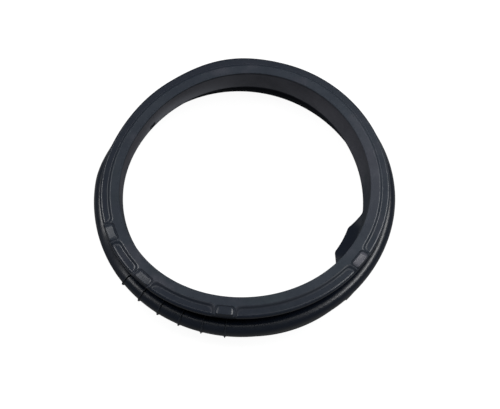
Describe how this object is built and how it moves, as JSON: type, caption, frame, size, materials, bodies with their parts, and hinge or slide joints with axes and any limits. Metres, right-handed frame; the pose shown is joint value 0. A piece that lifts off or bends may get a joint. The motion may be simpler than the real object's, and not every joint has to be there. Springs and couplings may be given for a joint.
{
  "type": "washing machine door seal",
  "caption": "Moulded rubber bellows ring that seals a front-loading washing machine's door opening to its tub, with an inner lip and a short tongue.",
  "frame": {"origin": "on the ring's axis, in the plane of the tub face that it lies on", "axes": "+Z along the ring's axis, from the tub side to the door side; +X to the right and +Y away in the picture"},
  "size_m": [0.3807, 0.3781, 0.0668],
  "materials": {
    "rubber": "moulded black EPDM rubber, satin, with a fine matt grain on the flat faces"
  },
  "bodies": {
    "root": {"door_seal": "rubber"}
  },
  "joints": []
}
